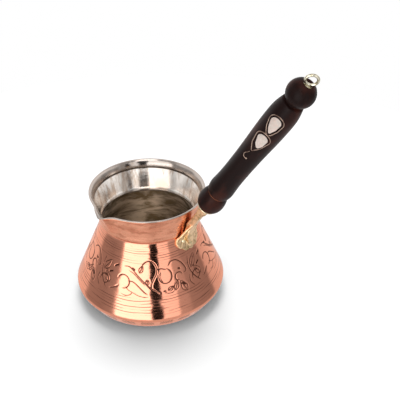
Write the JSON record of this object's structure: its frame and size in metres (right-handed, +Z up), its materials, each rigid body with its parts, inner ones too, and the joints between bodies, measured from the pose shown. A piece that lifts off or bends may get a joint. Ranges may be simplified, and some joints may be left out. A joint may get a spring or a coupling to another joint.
{
  "type": "turkish coffee pot",
  "caption": "Copper coffee pot with a wide base, narrow neck, pinched spout and a long leaning wooden handle on a riveted brass bracket, ending in a hanging eye.",
  "frame": {"origin": "centre of the flat resting face of the base", "axes": "+Z up along the pot's axis; the handle leans out along +X; the spout points close to -Y"},
  "size_m": [0.1653, 0.1, 0.1915],
  "materials": {
    "copper": "copper, polished wall with fine turned rings and cut engraving, brushed mouth",
    "tin": "hot-wiped tin, satin, dull and mottled inside",
    "cast_brass": "cast, tumbled, slightly grainy",
    "rivet_brass": "hammered domed heads",
    "ferrule_brass": "turned, satin",
    "dark_wood": "turned, stained very dark brown, satin varnish",
    "rod_steel": "plain drawn rod",
    "eye_brass": "nickel-pale brass, polished",
    "pearl": "mother of pearl, polished flush",
    "inlay_wire": "dull drawn wire set on edge in the wood"
  },
  "bodies": {
    "root": {"pot_body": "copper", "tin_lining": "tin", "handle_bracket": "cast_brass", "bracket_rivets": "rivet_brass", "handle_ferrule": "ferrule_brass", "wood_handle": "dark_wood", "tie_rod": "rod_steel", "hanging_eye": "eye_brass", "pearl_upper": "pearl", "pearl_lower": "pearl", "wire_upper": "inlay_wire", "wire_lower": "inlay_wire", "wire_curl": "inlay_wire", "wire_dot": "inlay_wire"}
  },
  "joints": []
}
